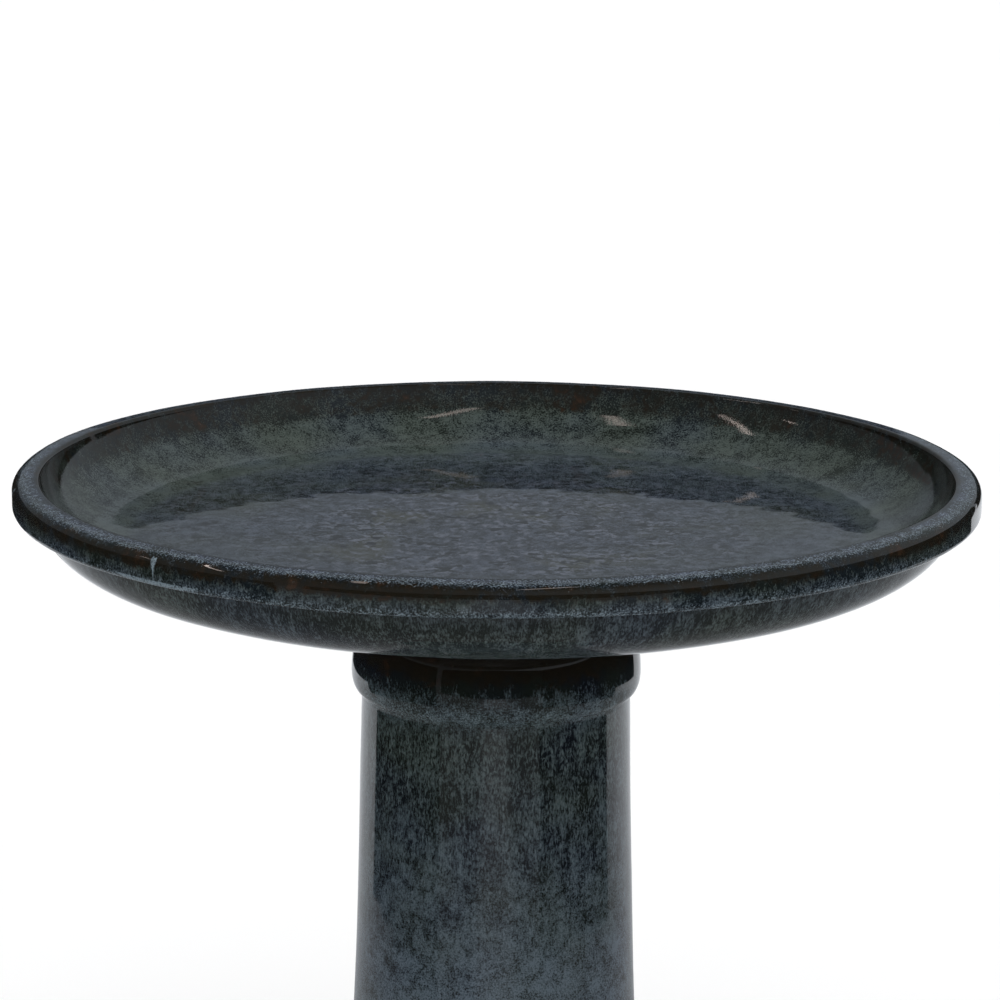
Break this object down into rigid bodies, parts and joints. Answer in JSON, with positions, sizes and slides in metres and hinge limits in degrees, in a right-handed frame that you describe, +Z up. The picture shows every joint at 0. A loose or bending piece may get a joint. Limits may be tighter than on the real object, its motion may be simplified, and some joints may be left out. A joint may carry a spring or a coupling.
{
  "type": "bird bath",
  "caption": "Free-standing glazed stoneware bird bath: a wide shallow basin with a banded lip, lifted off a hollow flared pedestal.",
  "frame": {"origin": "centre of the pedestal's foot, on the ground", "axes": "+Z up along the pedestal's axis; the part is a body of revolution, so +X and +Y are any two level directions"},
  "size_m": [0.52, 0.52, 0.61],
  "materials": {
    "bowl_glaze": "glossy reactive glaze, near-black broken by fine blue-grey crystals, brown-black where it thins on edges",
    "pedestal_glaze": "glossy reactive glaze, dark blue-grey mottling over black",
    "pad_rubber": "clear self-adhesive polyurethane pad"
  },
  "bodies": {
    "pedestal": {"pedestal": "pedestal_glaze", "seat_pad_1": "pad_rubber", "seat_pad_2": "pad_rubber", "seat_pad_3": "pad_rubber", "seat_pad_4": "pad_rubber"},
    "bowl": {"bowl": "bowl_glaze"}
  },
  "joints": [
    {"name": "bowl_lift", "type": "slide", "parent": "pedestal", "child": "bowl", "axis": [0, 0, 1], "range_m": [0, 0.15]}
  ]
}
